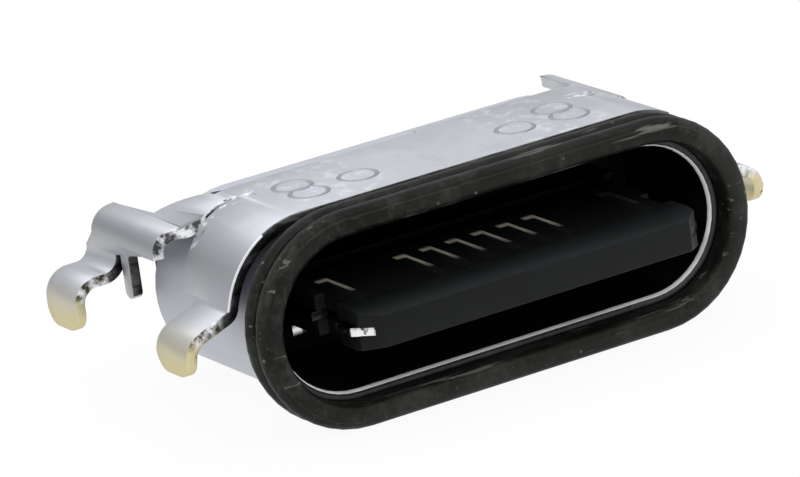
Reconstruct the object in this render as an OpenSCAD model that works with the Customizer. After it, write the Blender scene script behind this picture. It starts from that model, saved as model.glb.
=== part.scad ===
// Sealed mid-mount socket with 16 contacts.
// Frame: X along the mouth, -Y out of the mouth, +Z up. Origin at the centre of the seal's front face.
// All sizes in mm.

/* [Mouth and shell] */
// Width of the mouth inside the shell
mouth_w = 8.34; // [8.2:0.01:8.5]
// Height of the mouth inside the shell
mouth_h = 2.56; // [2.5:0.01:2.7]
// Wall of the drawn shell
shell_t = 0.24; // [0.15:0.01:0.3]
// Depth of the shell's front edge behind the seal's face
shell_y0 = 0.42; // [0.3:0.01:0.8]
// Depth of the shell's rear edge
shell_y1 = 4.2; // [3.6:0.05:5]

/* [Seal] */
// Step from the mouth out to the seal's lip
lip_step = 0.13; // [0.05:0.01:0.2]
// Radius of the lip's nose
lip_r = 0.14; // [0.05:0.01:0.15]
// Radial height of the seal's sleeve from the mouth
sleeve_h = 0.43; // [0.41:0.01:0.55]
// Radial height of the ribs from the mouth
rib_h = 0.56; // [0.5:0.01:0.8]
// Radius of a rib's crown
rib_r = 0.14; // [0.08:0.01:0.16]
// Depth of the front rib's centre
rib1_y = 0.2; // [0.16:0.01:0.26]
// Depth of the rear rib's centre
rib2_y = 0.56; // [0.5:0.01:0.62]
// Depth of the seal's rear flange
seal_y1 = 0.8; // [0.77:0.01:0.85]
// Radial height of the low neck behind that flange from the mouth
neck_h = 0.34; // [0.3:0.01:0.36]
// Depth of the neck's rear edge
neck_y1 = 0.96; // [0.9:0.01:0.96]

/* [Cover] */
// Sheet of the outer cover
sheet_t = 0.2; // [0.12:0.01:0.25]
// Gap between shell and cover
cover_gap = 0.01; // [0:0.005:0.05]
// Extra gap between shell and cover at the sides
side_gap = 0.31; // [0.2:0.01:0.35]
// How much tighter than the shell the cover's side bends are
side_tight = 0.15; // [0.05:0.01:0.2]
// Depth of the cover's front edge
cover_y0 = 1.0; // [0.97:0.01:1.1]
// Depth of the front strap's rear edge on top
strap_y1 = 2.78; // [2.6:0.02:2.9]
// Depth of the front strap's rear edge low on the sides
strap_low_y1 = 2.5; // [2.3:0.02:2.6]
// Width of the slit between strap and rear arm
slit_w = 0.07; // [0.04:0.01:0.1]
// Depth of the top plate's rear edge
plate_y1 = 3.45; // [3.2:0.01:3.7]
// Step along the rear edge
plate_step = 0.12; // [0.05:0.01:0.2]
// Where the step stands along the rear edge
plate_step_x = 0.4; // [0:0.1:1]
// Wrap of the front strap round the shell, in degrees
strap_wrap = 73; // [60:1:80]
// Slope of the front shoulders, in degrees
front_slope = 20; // [10:1:25]
// Wrap of the rear arm before it turns out, in degrees
arm_wrap = 41; // [30:1:41]
// Middle radius of the small outward bends
turn_r = 0.2; // [0.15:0.01:0.3]
// Middle radius of the bend over the rear wing
wing_r = 0.32; // [0.2:0.01:0.33]
// Middle radius of the bend at the top of a leg
leg_r = 0.36; // [0.2:0.01:0.4]
// Middle radius of the bend at the rear wing's foot
foot_r = 0.34; // [0.2:0.01:0.4]
// How far the rear legs stand back past the wing's edge
leg_back = 0.26; // [0:0.02:0.3]
// From the mouth's side out to the outer faces of the legs
leg_reach = 1.45; // [1.3:0.01:1.8]
// From the mouth's side out to the outer faces of the wings
wing_reach = 0.57; // [0.55:0.01:0.8]
// Corner cut low at the rear wing's front
wing_cut = 0.15; // [0.05:0.01:0.2]
// Depth of the rear wing's back edge
wing_y1 = 5.62; // [5.2:0.02:5.8]
// Width of a leg
leg_w = 1.06; // [0.7:0.02:1.1]
// Bottom of the legs
leg_z = -0.48; // [-0.8:0.02:-0.3]
// Corner radius at a leg's tip
leg_tip_r = 0.34; // [0.1:0.02:0.45]
// Underside of the rear shoulders, where the board lies
board_z = 0.22; // [0.1:0.01:0.4]
// Depth of the small side tab's front edge
tab_y0 = 4.38; // [4.1:0.02:4.42]
// Width of the small side tab
tab_w = 0.28; // [0.2:0.02:0.3]
// Bottom of the small side tab
tab_z = -0.04; // [-0.2:0.02:0.3]

/* [Tongue] */
// Width of the tongue's moulding
tongue_w = 6.5; // [6.3:0.01:6.69]
// Thickness of the tongue
tongue_t = 0.7; // [0.65:0.01:0.75]
// Depth of the tongue's tip, negative in front of the seal
tongue_y0 = -0.82; // [-1:0.02:0.4]
// Chamfer of the tip's upper and lower edges
tip_z = 0.08; // [0.05:0.01:0.15]
// Length of that chamfer
tip_y = 0.5; // [0.1:0.02:0.6]
// Corner cut of the tip seen from above
tip_x = 0.3; // [0.1:0.01:0.5]
// Thickness of the plate inside the tongue
mid_t = 0.15; // [0.1:0.01:0.2]
// How far the middle plate's sides stand out of the tongue's sides
mid_out = 0.095; // [0.005:0.005:0.2]
// Depth of the latch notches in the plate's sides
latch_d = 0.28; // [0.1:0.01:0.4]

/* [Contacts] */
// Pitch of the contacts
pitch = 0.5; // [0.5:0.01:0.5]
// Width of a contact on the tongue
contact_w = 0.25; // [0.2:0.01:0.3]
// Width of a solder tail
tail_w = 0.2; // [0.15:0.01:0.22]
// Thickness of the contacts
contact_t = 0.13; // [0.1:0.01:0.15]
// Middle of a ground pad's pair of tails
ground_pad_x = 3.2; // [3.1:0.01:3.25]
// Middle of a power pad's pair of tails
power_pad_x = 2.4; // [2.35:0.01:2.5]
// Half the spacing of a pair of tails on one pad
pair_half = 0.15; // [0.12:0.01:0.16]
// Depth of the contacts' front ends
contact_y0 = 0.1; // [-0.2:0.02:0.3]
// Depth of the solder tails' ends
tail_y1 = 6.3; // [6:0.05:6.8]

/* [Housing] */
// Depth of the face behind the tongue
plug_y0 = 3.0; // [2.6:0.05:3.4]
// Wall of the plug round the tongue's root
face_wall = 0.25; // [0.15:0.01:0.3]
// Depth of the plug's rear face
plug_y1 = 3.7; // [3.5:0.05:4]
// Depth of the sealant's rear face
seal_fill_y1 = 4.12; // [3.9:0.02:4.2]
// Depth of the housing's rear face
block_y1 = 5.5; // [5:0.05:5.7]
// Half height of the housing's rear block
block_z = 0.88; // [0.75:0.01:0.95]
// Least sealant between the rear block's corners and the shell
fill_min = 0.08; // [0.05:0.01:0.2]
// Moulding left beside the carriers in the rear block
block_wall = 0.12; // [0.1:0.01:0.2]
// Half height of the step at the tongue's root
root_z = 0.47; // [0.42:0.01:0.7]
// Depth of the step at the tongue's root
root_y0 = 1.94; // [1.6:0.02:2.6]
// Thickness of the ground plates at the root
ground_t = 0.1; // [0.05:0.01:0.15]
// Gap from the ground plates' lips to the contacts
pin_gap = 0.03; // [0.02:0.01:0.06]
// How far the ground plates stand in from the tongue's sides
ground_inset = 0.03; // [0.01:0.01:0.3]
// Play between the plug and the shell
plug_gap = 0.01; // [0:0.005:0.03]

/* [Hidden] */
$fn = 64;
r0 = mouth_h / 2;
cx = mouth_w / 2 - r0;
shell_r = r0 + shell_t;
arc_r = shell_r + cover_gap + sheet_t / 2;
plate_z = shell_r + cover_gap + sheet_t;
bend_x = cx + side_gap;
shoulder_z = board_z + sheet_t / 2;
leg_x = mouth_w / 2 + leg_reach;
wing_x = mouth_w / 2 + wing_reach;
leg_cx = leg_x - sheet_t / 2;
wing_cx = wing_x - sheet_t / 2;
pin_z1 = tongue_t / 2;
pin_z0 = pin_z1 - contact_t;
mid_w = tongue_w + 2 * mid_out;
carrier_w = tongue_w - 0.5;
carrier_y0 = -0.05;
carrier_y1 = 4.5;
block_w = 2 * (cx + sqrt(pow(r0 - fill_min, 2) - pow(block_z, 2)));
carrier_rw = block_w - 2 * block_wall;
carrier_rz = block_z - 2 * block_wall;
jog_y0 = plug_y0 + 0.2;
jog_y1 = 4.3;
rise_y = 4.7;
mid_y0 = tongue_y0 + 0.12;
mid_y1 = 4.4;
latch_y0 = 0.15;
latch_y1 = 0.85;
arm_y0 = strap_y1 + 0.52;
side_r = arc_r - side_tight;
slit_x = bend_x + 0.3;
arm_root_x = bend_x + 0.78;
arm_back_x = bend_x + 0.3;
wing_run = 1.35;
step_deg = 6;
far = 8;
big = 20;

// ---- shared shapes ----
module stadium(r) {
  square([2 * cx, 2 * r], center = true);
  for (s = [-1, 1]) translate([s * cx, 0]) circle(r);
}

module plug(r, y0, y1) {
  translate([0, y0, 0]) rotate([-90, 0, 0]) linear_extrude(y1 - y0) stadium(r);
}

// A profile of radius and depth carried once round the mouth.
module round_mouth() {
  translate([cx, 0, 0]) rotate([-90, 0, 0]) rotate([0, 0, -90]) rotate_extrude(angle = 180) children();
  translate([-cx, 0, 0]) rotate([-90, 0, 0]) rotate([0, 0, 90]) rotate_extrude(angle = 180) children();
  translate([cx, 0, 0]) rotate([0, -90, 0]) linear_extrude(2 * cx) children();
  translate([-cx, 0, 0]) rotate([0, 90, 0]) linear_extrude(2 * cx) children();
}

module box(x0, x1, y0, y1, z0, z1) {
  translate([x0, y0, z0]) cube([x1 - x0, y1 - y0, z1 - z0]);
}

// A side view of depth and height, extruded from x0 to x1.
module side_view(x0, x1) {
  translate([x0, 0, 0]) rotate([90, 0, 90]) linear_extrude(x1 - x0) children();
}

// ---- bent sheet: steps are [length] or [middle radius, turn] ----
function walk(s, p) = len(s) == 1
  ? [p[0] + s[0] * cos(p[2]), p[1] + s[0] * sin(p[2]), p[2]]
  : let (k = sign(s[1]), h = p[2] + s[1])
    [p[0] + k * s[0] * (sin(h) - sin(p[2])), p[1] - k * s[0] * (cos(h) - cos(p[2])), h];
function poses(st, p, i = 0) = i == len(st) ? [p] : concat([p], poses(st, walk(st[i], p), i + 1));
function parts_of(s) = len(s) == 1 ? 1 : ceil(abs(s[1]) / step_deg);
function part_of(s, f) = len(s) == 1 ? [s[0] * f] : [s[0], s[1] * f];
function track(st, p) = let (q = poses(st, p))
  concat([p], [for (i = [0 : len(st) - 1]) let (n = parts_of(st[i]))
    for (j = [1 : n]) walk(part_of(st[i], j / n), q[i])]);
function side_of(tr, d) = [for (a = tr) [a[0] - d * sin(a[2]), a[1] + d * cos(a[2])]];
function flip(a) = [for (i = [len(a) - 1 : -1 : 0]) a[i]];
module sheet(st, p) {
  tr = track(st, p);
  polygon(concat(side_of(tr, sheet_t / 2), flip(side_of(tr, -sheet_t / 2))));
}

start = [0, arc_r, 0];
strap_in = [[bend_x], [side_r, -strap_wrap], [turn_r, strap_wrap]];
strap_end = poses(strap_in, start)[3];
strap_drop = strap_end[1] - shoulder_z;
front_steps = [[bend_x], [side_r, -strap_wrap], [strap_drop / sin(strap_wrap)],
  [turn_r, strap_wrap - front_slope]];
front_out = poses(front_steps, start)[4];
front_run = (leg_cx - leg_r * (1 - sin(front_slope)) - front_out[0]) / cos(front_slope);
front_fall = front_out[1] - front_run * sin(front_slope) - leg_r * cos(front_slope) - leg_z;
front_path = concat(front_steps, [[front_run], [leg_r, front_slope - 90], [front_fall]]);
arm_in = [[bend_x], [side_r, -arm_wrap], [turn_r, arm_wrap]];
arm_end = poses(arm_in, start)[3];
rear_path = concat(arm_in, [[wing_cx - wing_r - arm_end[0]], [wing_r, -90],
  [arm_end[1] - wing_r - foot_r - shoulder_z], [foot_r, 90],
  [leg_cx - leg_r - wing_cx - foot_r], [leg_r, -90], [shoulder_z - leg_r - leg_z]]);
arm_x = arm_end[0];

// A leg seen from the side, with a round tip, carried up to z1.
module leg_side(y0, z1) {
  difference() {
    translate([y0, leg_z]) square([leg_w, z1 - leg_z]);
    translate([y0, leg_z]) tip_corner(leg_tip_r);
    translate([y0 + leg_w, leg_z]) mirror([1, 0]) tip_corner(leg_tip_r);
  }
}

module tip_corner(r) {
  difference() {
    translate([-1, -1]) square([r + 1, r + 1]);
    translate([r, r]) circle(r);
  }
}

module front_half() {
  narrow_z = shoulder_z + sheet_t / 2 + 0.08;
  intersection() {
    translate([0, strap_y1, 0]) rotate([90, 0, 0]) linear_extrude(strap_y1 - cover_y0)
      sheet(front_path, start);
    side_view(0, far) {
      polygon([[cover_y0, narrow_z], [strap_low_y1, narrow_z], [strap_y1, shell_r], [strap_y1, 3],
        [cover_y0, 3]]);
      leg_side(cover_y0, narrow_z + 0.01);
    }
  }
}

module rear_half() {
  foot_z = shoulder_z + foot_r + 0.01;
  leg_y1 = wing_y1 + leg_back;
  intersection() {
    translate([0, leg_y1, 0]) rotate([90, 0, 0]) linear_extrude(leg_y1 - strap_y1)
      sheet(rear_path, start);
    linear_extrude(big, center = true) polygon([[0, strap_y1], [slit_x, strap_y1],
      [slit_x + slit_w, strap_y1 + slit_w], [arm_root_x, strap_y1 + 1.5 * slit_w], [arm_x, arm_y0],
      [wing_cx, arm_y0 + 0.15], [far, arm_y0 + 0.15],
      [far, leg_y1], [arm_x, leg_y1], [arm_x, wing_y1], [arm_x - 0.05, wing_y1],
      [arm_x - 0.12, wing_y1 - wing_run],
      [arm_back_x, plate_y1], [0, plate_y1]]);
    side_view(0, far) {
      polygon([[strap_y1 - 1, foot_z + wing_cut], [arm_y0 + 0.55, foot_z + wing_cut],
        [leg_y1 - leg_w, foot_z], [wing_y1, foot_z], [wing_y1, 3], [strap_y1 - 1, 3]]);
      polygon([[wing_y1 - 0.1, foot_z], [leg_y1, foot_z], [wing_y1, foot_z + leg_back],
        [wing_y1 - 0.1, foot_z + leg_back]]);
      leg_side(leg_y1 - leg_w, foot_z + 0.01);
    }
  }
  intersection() {
    box(wing_x - sheet_t, wing_x, tab_y0, tab_y0 + tab_w, tab_z, foot_z + 0.1);
    side_view(0, far) {
      translate([tab_y0 + tab_w / 2, tab_z + tab_w / 2]) circle(tab_w / 2);
      translate([tab_y0, tab_z + tab_w / 2]) square([tab_w, 1]);
    }
  }
}

module outer_cover() {
  color([0.76, 0.77, 0.80]) difference() {
    union() {
      for (s = [0, 1]) mirror([s, 0, 0]) {
        front_half();
        rear_half();
      }
    }
    box(-arm_back_x, plate_step_x, plate_y1 - plate_step, plate_y1 + 0.1, 1, 3);
  }
}

module inner_shell() {
  color([0.62, 0.64, 0.68]) round_mouth() {
    translate([r0 + shell_t / 2, shell_y0 + shell_t / 2]) circle(shell_t / 2);
    translate([r0, shell_y0 + shell_t / 2]) square([shell_t, shell_y1 - shell_y0 - shell_t / 2]);
  }
}

module front_seal() {
  color([0.10, 0.095, 0.085]) round_mouth() {
    translate([r0 + lip_step + lip_r, lip_r]) circle(lip_r);
    translate([r0 + lip_step + lip_r, 0]) square([sleeve_h - lip_step - lip_r, shell_y0]);
    translate([r0 + lip_step, lip_r]) square([sleeve_h - lip_step, shell_y0 - lip_r]);
    translate([shell_r, shell_y0 - 0.01]) square([r0 + sleeve_h - shell_r, seal_y1 - shell_y0 + 0.01]);
    translate([shell_r, seal_y1 - 0.01]) square([r0 + neck_h - shell_r, neck_y1 - seal_y1 + 0.01]);
    for (y = [rib1_y, rib2_y]) translate([r0 + rib_h - rib_r, y]) circle(rib_r);
  }
}

// ---- contacts ----
// Seen from above: straight on the tongue, then over to the tail.
module contact_plan(xa, xb) {
  a = contact_w / 2;
  b = tail_w / 2;
  polygon([[xa - a, contact_y0], [xa + a, contact_y0], [xa + a, jog_y0], [xb + b, jog_y1],
    [xb + b, tail_y1], [xb - b, tail_y1], [xb - b, jog_y1], [xa - a, jog_y0]]);
}

module upper_contact(xa, xb) {
  translate([0, 0, pin_z0]) linear_extrude(contact_t) contact_plan(xa, xb);
}

module lower_contact(xa, xb) {
  intersection() {
    linear_extrude(big, center = true) contact_plan(xa, xb);
    side_view(-far, far) polygon([[contact_y0, -pin_z1], [rise_y + contact_t, -pin_z1],
      [rise_y + contact_t, pin_z0], [tail_y1, pin_z0], [tail_y1, pin_z1], [rise_y, pin_z1],
      [rise_y, -pin_z0], [contact_y0, -pin_z0]]);
  }
}

// Places in half pitches, and tails side by side on shared pads.
function place(n) = (n - 6.5) * pitch;
module a_pin(n, tail) {
  color([0.83, 0.72, 0.42]) upper_contact(place(n), tail);
}
module b_pin(n, tail) {
  color([0.80, 0.69, 0.40]) lower_contact(-place(n), tail);
}
module contact_a1() { a_pin(1, -ground_pad_x - pair_half); }
module contact_a4() { a_pin(4, -power_pad_x - pair_half); }
module contact_a5() { a_pin(5, -2.5 * pitch); }
module contact_a6() { a_pin(6, -0.5 * pitch); }
module contact_a7() { a_pin(7, 0.5 * pitch); }
module contact_a8() { a_pin(8, 2.5 * pitch); }
module contact_a9() { a_pin(9, power_pad_x + pair_half); }
module contact_a12() { a_pin(12, ground_pad_x + pair_half); }
module contact_b1() { b_pin(1, ground_pad_x - pair_half); }
module contact_b4() { b_pin(4, power_pad_x - pair_half); }
module contact_b5() { b_pin(5, 3.5 * pitch); }
module contact_b6() { b_pin(6, 1.5 * pitch); }
module contact_b7() { b_pin(7, -1.5 * pitch); }
module contact_b8() { b_pin(8, -3.5 * pitch); }
module contact_b9() { b_pin(9, -power_pad_x + pair_half); }
module contact_b12() { b_pin(12, -ground_pad_x + pair_half); }

module a_row() {
  contact_a1();
  contact_a4();
  contact_a5();
  contact_a6();
  contact_a7();
  contact_a8();
  contact_a9();
  contact_a12();
}

module b_row() {
  contact_b1();
  contact_b4();
  contact_b5();
  contact_b6();
  contact_b7();
  contact_b8();
  contact_b9();
  contact_b12();
}

// ---- plate and mouldings ----
module mid_plate() {
  color([0.70, 0.71, 0.73]) difference() {
    translate([0, 0, -mid_t / 2]) linear_extrude(mid_t) polygon([[-mid_w / 2 + tip_x, mid_y0],
      [mid_w / 2 - tip_x, mid_y0], [mid_w / 2, mid_y0 + tip_x], [mid_w / 2, mid_y1],
      [-mid_w / 2, mid_y1], [-mid_w / 2, mid_y0 + tip_x]]);
    for (s = [-1, 1]) translate([s * mid_w / 2, 0, 0])
      box(-latch_d, latch_d, latch_y0, latch_y1, -1, 1);
  }
}

module carrier_body() {
  carrier_step = plug_y0 + face_wall;
  box(-carrier_w / 2, carrier_w / 2, carrier_y0, carrier_step, mid_t / 2, pin_z1);
  box(-carrier_rw / 2, carrier_rw / 2, carrier_step, carrier_y1, mid_t / 2, carrier_rz);
}

module upper_carrier() {
  color([0.13, 0.13, 0.14]) difference() {
    carrier_body();
    a_row();
  }
}

module lower_carrier() {
  color([0.13, 0.13, 0.14]) difference() {
    mirror([0, 0, 1]) carrier_body();
    b_row();
  }
}

module tongue_solid() {
  h = tongue_t / 2;
  w = tongue_w / 2;
  intersection() {
    side_view(-w, w) polygon([[tongue_y0, -h + tip_z], [tongue_y0 + tip_y, -h], [plug_y0, -h],
      [plug_y0, h], [tongue_y0 + tip_y, h], [tongue_y0, h - tip_z]]);
    linear_extrude(big, center = true) polygon([[-w + tip_x, tongue_y0], [w - tip_x, tongue_y0],
      [w, tongue_y0 + tip_x], [w, plug_y0], [-w, plug_y0], [-w, tongue_y0 + tip_x]]);
  }
  box(-w, w, root_y0, plug_y0, -root_z, root_z);
  plug(r0 - plug_gap, plug_y0, plug_y1);
  box(-block_w / 2, block_w / 2, plug_y1, block_y1, -block_z, block_z);
}

module tongue_moulding() {
  color([0.11, 0.115, 0.12]) difference() {
    tongue_solid();
    carrier_body();
    mirror([0, 0, 1]) carrier_body();
    box(-mid_w / 2, mid_w / 2, mid_y0, mid_y1, -mid_t / 2, mid_t / 2);
    for (s = [-1, 1]) translate([s * mid_w / 2, 0, 0])
      box(-latch_d, latch_d, latch_y0, latch_y1, -1, 1);
    a_row();
    b_row();
  }
}

module ground_plate() {
  w = tongue_w / 2 - ground_inset;
  lip_z = pin_z1 + pin_gap;
  side_view(-w, w) polygon([[root_y0 - ground_t, lip_z], [root_y0, lip_z],
    [root_y0, root_z], [plug_y0, root_z], [plug_y0, root_z + ground_t],
    [root_y0 - ground_t, root_z + ground_t]]);
}

module upper_ground_plate() {
  color([0.72, 0.73, 0.75]) ground_plate();
}

module lower_ground_plate() {
  color([0.72, 0.73, 0.75]) mirror([0, 0, 1]) ground_plate();
}

module rear_sealant() {
  color([0.16, 0.15, 0.14]) difference() {
    plug(r0, plug_y1, seal_fill_y1);
    box(-block_w / 2, block_w / 2, plug_y1 - 1, seal_fill_y1 + 1, -block_z, block_z);
  }
}

outer_cover();
inner_shell();
front_seal();
tongue_moulding();
upper_carrier();
lower_carrier();
mid_plate();
upper_ground_plate();
lower_ground_plate();
rear_sealant();
contact_a1();
contact_a4();
contact_a5();
contact_a6();
contact_a7();
contact_a8();
contact_a9();
contact_a12();
contact_b1();
contact_b4();
contact_b5();
contact_b6();
contact_b7();
contact_b8();
contact_b9();
contact_b12();
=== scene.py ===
"""Looks for a sealed mid-mount socket: stamped cover, drawn shell, rubber seal, tongue and contacts.

Lengths are in metres in the part's own frame: X along the mouth, -Y out of the mouth, +Z up.
"""

import math

import bmesh
import bpy
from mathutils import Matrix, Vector
from mathutils.bvhtree import BVHTree


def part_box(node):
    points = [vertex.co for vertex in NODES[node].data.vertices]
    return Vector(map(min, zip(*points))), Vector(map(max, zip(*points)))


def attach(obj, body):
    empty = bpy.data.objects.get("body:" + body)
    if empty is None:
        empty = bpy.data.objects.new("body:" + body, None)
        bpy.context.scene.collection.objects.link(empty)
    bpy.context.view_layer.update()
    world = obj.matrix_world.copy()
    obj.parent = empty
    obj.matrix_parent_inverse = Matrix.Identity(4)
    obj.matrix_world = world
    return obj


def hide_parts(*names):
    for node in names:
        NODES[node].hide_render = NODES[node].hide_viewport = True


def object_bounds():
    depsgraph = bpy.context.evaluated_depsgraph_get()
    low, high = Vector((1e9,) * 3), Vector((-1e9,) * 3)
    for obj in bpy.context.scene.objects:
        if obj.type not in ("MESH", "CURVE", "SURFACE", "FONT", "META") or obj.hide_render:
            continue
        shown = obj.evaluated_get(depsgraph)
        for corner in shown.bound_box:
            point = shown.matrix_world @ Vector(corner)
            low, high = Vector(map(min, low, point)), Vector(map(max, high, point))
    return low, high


bl_info = {
    "name": "Sealed Socket Look",
    "version": (1, 0, 0),
    "blender": (4, 5, 0),
    "location": "View3D > Sidebar > Socket",
    "description": "Dresses the sealed socket's solids with sheet metal, rubber, moulding and plating",
    "category": "Object",
}

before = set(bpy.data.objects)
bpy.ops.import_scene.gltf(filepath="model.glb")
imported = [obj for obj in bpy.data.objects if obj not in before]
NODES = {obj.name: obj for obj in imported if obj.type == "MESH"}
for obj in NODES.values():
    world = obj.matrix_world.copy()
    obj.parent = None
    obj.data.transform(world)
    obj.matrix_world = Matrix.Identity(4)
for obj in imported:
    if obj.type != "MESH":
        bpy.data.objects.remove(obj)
CAD_LOW, CAD_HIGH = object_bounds()
MM = 0.001
COVER_LOW, COVER_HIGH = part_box("outer_cover")
SHELL_LOW, SHELL_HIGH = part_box("inner_shell")
TONGUE_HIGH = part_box("tongue_moulding")[1]
# Half length of the shell's flat sides, up to where its round ends begin
FLAT_HALF = SHELL_HIGH.x - SHELL_HIGH.z
# The block behind the tongue fills the bore, so its height gives the shell's wall
SHELL_WALL = SHELL_HIGH.z - TONGUE_HIGH.z
UPPER_PINS = ("a1", "a4", "a5", "a6", "a7", "a8", "a9", "a12")
LOWER_PINS = ("b1", "b4", "b5", "b6", "b7", "b8", "b9", "b12")

# Meshes: how close two corners count as one, and the angles that count as flat, an edge and a crease
SAME_CORNER = 2e-7
FLAT_WITHIN = math.radians(0.6)
EDGE_FROM = math.radians(40.0)
CREASE_FROM = math.radians(32.0)
BEAD_CREASE_FROM = math.radians(60.0)
EDGE_STEPS = 2


def fade(base, start, full):
    """Two places beyond a base, given in millimetres: where a change begins and where it is complete."""
    return base + start * MM, base + full * MM


# Where a finish changes. ASIDE is the distance from the middle plane, DEPTH is Y and HEIGHT is Z.
STAINS_ASIDE = fade(0.0, 2.2, 0.4)
MARKS_INNER_ASIDE = fade(0.0, 1.05, 1.35)
MARKS_OUTER_ASIDE = fade(FLAT_HALF, 0.164, -0.086)
PLATE_FACE_HEIGHT = fade(COVER_HIGH.z, -0.04, -0.01)
# The sheet's upper sides that face outward get painted shade
SIDE_SHADE_SLOPE = (0.5, 0.85)
SIDE_SHADE_HEIGHT = fade(COVER_HIGH.z, -1.28, -0.68)
SLIT_FRONT_DEPTH = fade(COVER_LOW.y, 1.5, 1.6)
SLIT_REAR_DEPTH = fade(COVER_LOW.y, 1.95, 1.85)
SLIT_HEIGHT = fade(COVER_HIGH.z, -0.63, -0.53)
SLIT_ASIDE = fade(FLAT_HALF, 0.114, 0.214)
ARM_DEPTH = fade(COVER_LOW.y, 1.3, 1.5)
ARM_HEIGHT = fade(COVER_HIGH.z, -1.03, -0.93)
ARM_ASIDE = fade(FLAT_HALF, 0.414, 0.714)
LEG_ASIDE = fade(COVER_HIGH.x, -0.77, -0.62)
PLATING_HEIGHT = fade(COVER_LOW.z, 0.82, 0.18)
PLATING_ASIDE = fade(COVER_HIGH.x, -0.72, -0.32)
TIP_HEIGHT = fade(COVER_LOW.z, 0.64, 0.44)
TIP_ASIDE = fade(COVER_HIGH.x, -0.72, -0.52)
PLATE_SIDES_ASIDE = fade(0.0, 3.02, 3.06)

# The painted highlight line along a contact, as shares of the pitch
LINE_LEFT = (0.54, 0.63)
LINE_RIGHT = (0.76, 0.70)
# Contacts to the right of this lie in the shade of the mouth, and painted shade covers most of their bright
# band
SHADED_CONTACTS = fade(0.0, 1.6, 1.9)
# How softly a contact's painted bright band ends, at its tick and elsewhere, and how softly its plated tails
# begin
TICK_FADE = 0.06 * MM
BAND_AND_TAIL_FADE = 0.1 * MM

# Faces of the cover: its finishes, and how the front edge's slanting faces are told from the rest
# The front edge's bright outer corner is a painted highlight
SHEET, CUT_SIDE, LIT_CORNER = range(3)
FRONT_EDGE_DEPTH = 0.06 * MM
FRONT_SLANT = (-0.97, -0.15)
CORNER_ABOVE = COVER_HIGH.z - 1.28 * MM
CORNER_BEYOND = FLAT_HALF + 1.014 * MM
# A cut side looks forward or back more than this, and up or down less than that
CUT_ALONG = 0.6
CUT_UPRIGHT = 0.5
# How far a weld ring stands in the sheet
WELD_SINK = 0.0005 * MM

# Faces of the shell: its finishes, painted shade in the bore and a painted highlight on the lit edge, and the
# skins that keep outside and bore out of the lit edge
OUTSIDE, BORE, RIM = range(3)
OUTSIDE_SKIN = 0.01 * MM
BORE_SKIN = 0.004 * MM

# Faces of the plates: bright metal, and the same metal painted dark as shade where it lies deep in the mouth
# or on the right
BRIGHT, SHADED_FACES = range(2)

# Name, place, width and power of each soft light
LAMPS = (
    ("key_light", (-0.04, -0.22, 0.26), 0.3, 0.28),
    ("fill_light", (0.24, -0.12, 0.14), 0.25, 0.14),
    ("top_light", (0.02, 0.14, 0.30), 0.3, 0.24),
)
# The camera's sensor in millimetres, and the range of depth that it sees
SENSOR_WIDTH = 36.0
NEAREST, FARTHEST = 0.005, 10.0


# ---- node helpers ----

SURFACE_SOCKETS = {
    "colour": "Base Color",
    "metal": "Metallic",
    "rough": "Roughness",
    "gleam": "Specular IOR Level",
}
# Numbers of the mix node's colour sockets: its two inputs and its result
MIX_FIRST, MIX_SECOND, MIX_RESULT = 6, 7, 2
# The range in which most of a noise lies, and a narrower one that parts it more sharply
WIDE = (0.3, 0.7)
NARROW = (0.35, 0.65)


def new_node(tree, kind, *sources, **settings):
    """A node of this kind, with its first sockets linked to nodes or set to numbers."""
    node = tree.nodes.new(kind)
    for key, value in settings.items():
        setattr(node, key, value)
    for socket, source in zip(node.inputs, sources):
        feed(tree, socket, source)
    return node


def feed(tree, socket, value):
    """Links a socket to a node's output, or sets it to a plain value."""
    if isinstance(value, bpy.types.NodeSocket):
        tree.links.new(value, socket)
    else:
        socket.default_value = value


def rgba(colour, strength=1.0):
    return (colour[0] * strength, colour[1] * strength, colour[2] * strength, 1.0)


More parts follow.
